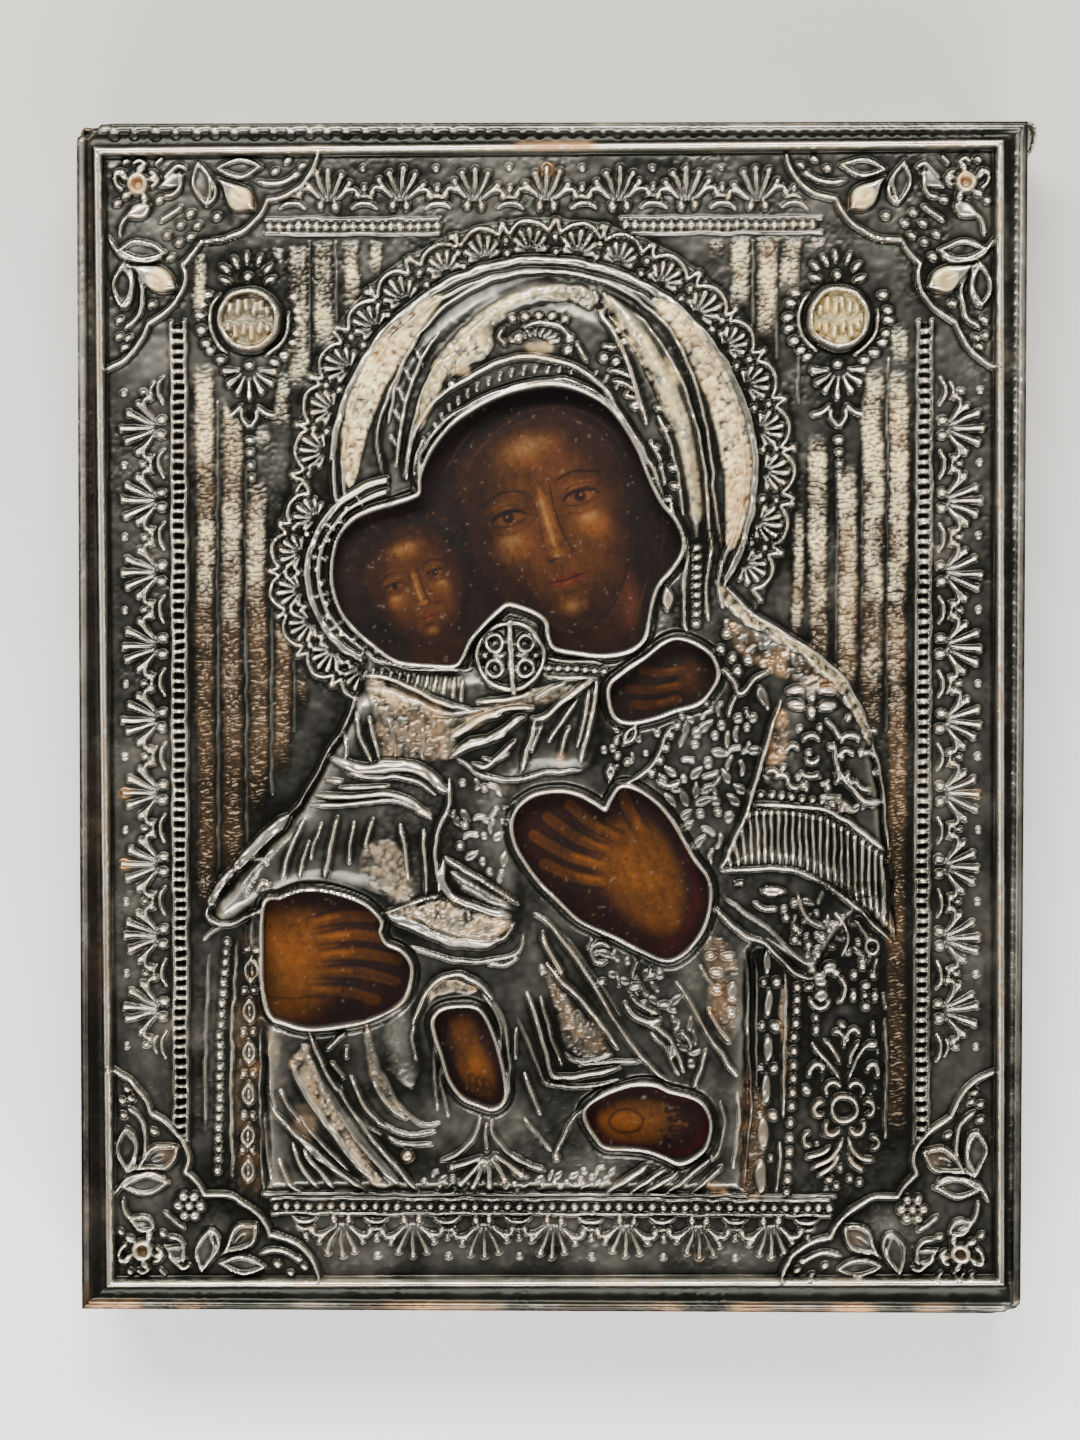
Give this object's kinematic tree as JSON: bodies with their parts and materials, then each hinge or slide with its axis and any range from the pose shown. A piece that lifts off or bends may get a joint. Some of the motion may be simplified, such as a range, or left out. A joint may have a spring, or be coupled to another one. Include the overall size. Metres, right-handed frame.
{
  "type": "icon panel",
  "caption": "Flat wooden devotional panel under a raised, silvered sheet-metal cover that is cut through to show the painted faces, hands and feet below.",
  "frame": {"origin": "on the floor under the middle of the panel's outline", "axes": "+X to the picture's right, +Y to the picture's top, +Z out of the picture; the panel lies on its back"},
  "size_m": [0.178, 0.224, 0.0274],
  "materials": {
    "old_wood": "aged, painted on its front",
    "silvered_copper": "worn silver plate on copper, dark in the hollows"
  },
  "bodies": {
    "root": {"board": "old_wood", "cover": "silvered_copper"}
  },
  "joints": []
}
